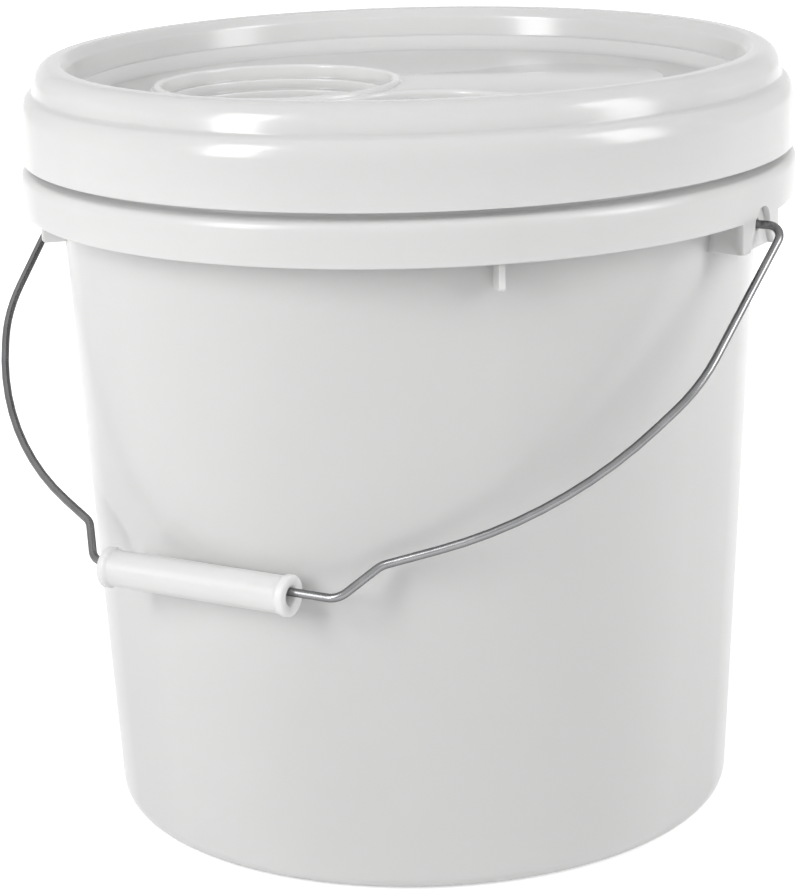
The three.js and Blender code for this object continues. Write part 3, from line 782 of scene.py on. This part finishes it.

# %% [markdown]
# The wire is bright drawn steel. Handling leaves duller patches, so its roughness and its colour vary a little.
# Its flanks would mirror the dark parts of a room that a white world lacks, so a painted dark reflection
# makes the steel's colour darker where it is seen edge-on. That gives the wire its dark outline round a bright
# core.

# %% Draw the steel
PATCH_SCALE = 120
LIGHT_STEEL = (0.36, 0.36, 0.365, 1)
DULL_STEEL = (0.2, 0.2, 0.205, 1)
FLANK_PAINTED_REFLECTION = (0.015, 0.015, 0.017, 1)
SMOOTHEST = 0.18
ROUGHEST = 0.34

wire_steel = bpy.data.materials.new("wire_steel")
wire_steel.use_nodes = True
steel_tree = wire_steel.node_tree
steel = steel_tree.nodes["Principled BSDF"]
steel.inputs["Metallic"].default_value = 1
steel_place = steel_tree.nodes.new("ShaderNodeTexCoord").outputs["Object"]
patches = noise(steel_tree, PATCH_SCALE, 3, steel_place)
tarnish = steel_tree.nodes.new("ShaderNodeValToRGB")
tarnish.color_ramp.elements[0].color = DULL_STEEL
tarnish.color_ramp.elements[1].color = LIGHT_STEEL
steel_tree.links.new(patches, tarnish.inputs["Fac"])
# A painted dark reflection: the colour turns towards the flank colour where the wire is seen edge-on.
flank = steel_tree.nodes.new("ShaderNodeLayerWeight")
painted_flank_reflection = steel_tree.nodes.new("ShaderNodeMix")
painted_flank_reflection.data_type = "RGBA"
painted_flank_reflection.inputs["B"].default_value = FLANK_PAINTED_REFLECTION
steel_tree.links.new(flank.outputs["Facing"], painted_flank_reflection.inputs["Factor"])
steel_tree.links.new(tarnish.outputs["Color"], painted_flank_reflection.inputs["A"])
steel_tree.links.new(painted_flank_reflection.outputs["Result"], steel.inputs["Base Color"])
dulled = steel_tree.nodes.new("ShaderNodeMapRange")
dulled.inputs["To Min"].default_value = SMOOTHEST
dulled.inputs["To Max"].default_value = ROUGHEST
steel_tree.links.new(patches, dulled.inputs["Value"])
steel_tree.links.new(dulled.outputs["Result"], steel.inputs["Roughness"])
print("materials", [material.name for material in bpy.data.materials])

# %% [markdown]
# Each new piece takes the place of its imported node, rides on the same body, and gets its finish.

# %% Dress the bodies
for piece, body, node, slot, finish in (
    (pail, "bucket", "pail", "pail", pail_plastic),
    (lid, "lid", "lid", "lid", lid_plastic),
    (bail, "bail", "bail", "wire", wire_steel),
    (grip, "grip", "grip", "grip", grip_plastic),
):
    piece.data.materials.clear()
    piece.data.materials.append(finish)
    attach(piece, body)
    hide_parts(node)
    print(piece.name, "rides on", body)

# %% [markdown]
# The studio is a pale floor under a white world. The world is only bright white where the camera, a reflection
# or a clear piece looks straight at it, and it lights the bucket more gently than that.
# The floor is lit by the lamps and takes the bucket's shadow. For the camera it also gets whiter with the
# distance from the bucket, so that it runs into the white world without an edge.

# %% Lay the floor and the world
def white_for_the_eye(tree, dim, bright):
    """A value that is bright on camera, glossy and transmission rays, and dim on all others."""
    path = tree.nodes.new("ShaderNodeLightPath")
    seen = path.outputs["Is Camera Ray"]
    for name in ("Is Glossy Ray", "Is Transmission Ray"):
        either = tree.nodes.new("ShaderNodeMath")
        either.operation = "MAXIMUM"
        tree.links.new(seen, either.inputs[0])
        tree.links.new(path.outputs[name], either.inputs[1])
        seen = either.outputs["Value"]
    level = tree.nodes.new("ShaderNodeMapRange")
    level.inputs["To Min"].default_value = dim
    level.inputs["To Max"].default_value = bright
    tree.links.new(seen, level.inputs["Value"])
    return level.outputs["Result"]


WORLD_LIGHT = 0.4
FLOOR_HALF = 6
FLOOR_GREY = 0.82
WHITENING_STARTS = 0.12
WHITENING_ENDS = 0.6
NEAR_GLOW = 0.55
FAR_GLOW = 0.95

world = bpy.data.worlds.new("studio")
world.use_nodes = True
bpy.context.scene.world = world
backdrop = world.node_tree.nodes["Background"]
backdrop.inputs["Color"].default_value = grey(1)
world_level = white_for_the_eye(world.node_tree, WORLD_LIGHT, 1)
world.node_tree.links.new(world_level, backdrop.inputs["Strength"])

floor_shape = bmesh.new()
bmesh.ops.create_grid(floor_shape, x_segments=1, y_segments=1, size=FLOOR_HALF)
floor = to_object("floor", floor_shape)
floor_paint = bpy.data.materials.new("floor_paint")
floor_paint.use_nodes = True
floor_tree = floor_paint.node_tree
floor_surface = floor_tree.nodes["Principled BSDF"]
floor_surface.inputs["Base Color"].default_value = grey(FLOOR_GREY)
floor_surface.inputs["Roughness"].default_value = 0.9
floor_surface.inputs["Emission Color"].default_value = grey(1)
floor_place = floor_tree.nodes.new("ShaderNodeTexCoord").outputs["Object"]
from_bucket = floor_tree.nodes.new("ShaderNodeVectorMath")
from_bucket.operation = "LENGTH"
floor_tree.links.new(floor_place, from_bucket.inputs[0])
whiter_away = floor_tree.nodes.new("ShaderNodeMapRange")
whiter_away.inputs["From Min"].default_value = WHITENING_STARTS
whiter_away.inputs["From Max"].default_value = WHITENING_ENDS
whiter_away.inputs["To Min"].default_value = NEAR_GLOW
whiter_away.inputs["To Max"].default_value = FAR_GLOW
floor_tree.links.new(from_bucket.outputs["Value"], whiter_away.inputs["Value"])
floor_seen = white_for_the_eye(floor_tree, 0, 1)
floor_glow = floor_tree.nodes.new("ShaderNodeMath")
floor_glow.operation = "MULTIPLY"
floor_tree.links.new(floor_seen, floor_glow.inputs[0])
floor_tree.links.new(whiter_away.outputs["Result"], floor_glow.inputs[1])
floor_tree.links.new(floor_glow.outputs["Value"], floor_surface.inputs["Emission Strength"])
floor.data.materials.append(floor_paint)
print("floor is", floor.dimensions.x, "m wide")

# %% [markdown]
# Two tall softboxes stand left and right of the camera. On a round glossy wall each one shows as an upright soft
# band, and their places were worked out from where those bands lie: the wall there faces half way to the lamp.

# %% Hang the softboxes
bpy.context.scene.view_settings.view_transform = "Standard"
LAMP_HEIGHT = 0.75
LAMP_DISTANCE = 1.3
LAMP_TALL = 0.9
LAMPS_AIM_AT = Vector((0, 0, 0.14))


def softbox(name, turn, width, power):
    lamp = bpy.data.lights.new(name, "AREA")
    lamp.shape = "RECTANGLE"
    lamp.size = width
    lamp.size_y = LAMP_TALL
    lamp.energy = power
    holder = bpy.data.objects.new(name, lamp)
    bpy.context.scene.collection.objects.link(holder)
    angle = CAMERA_TURN + math.radians(turn)
    side, front = math.sin(angle) * LAMP_DISTANCE, -math.cos(angle) * LAMP_DISTANCE
    holder.location = (side, front, LAMP_HEIGHT)
    holder.rotation_euler = (LAMPS_AIM_AT - holder.location).to_track_quat("-Z", "Y").to_euler()
    print(name, "at", [round(c, 2) for c in holder.location])


softbox("left_softbox", turn=-50, width=0.35, power=11.5)
softbox("right_softbox", turn=66, width=0.45, power=8.5)
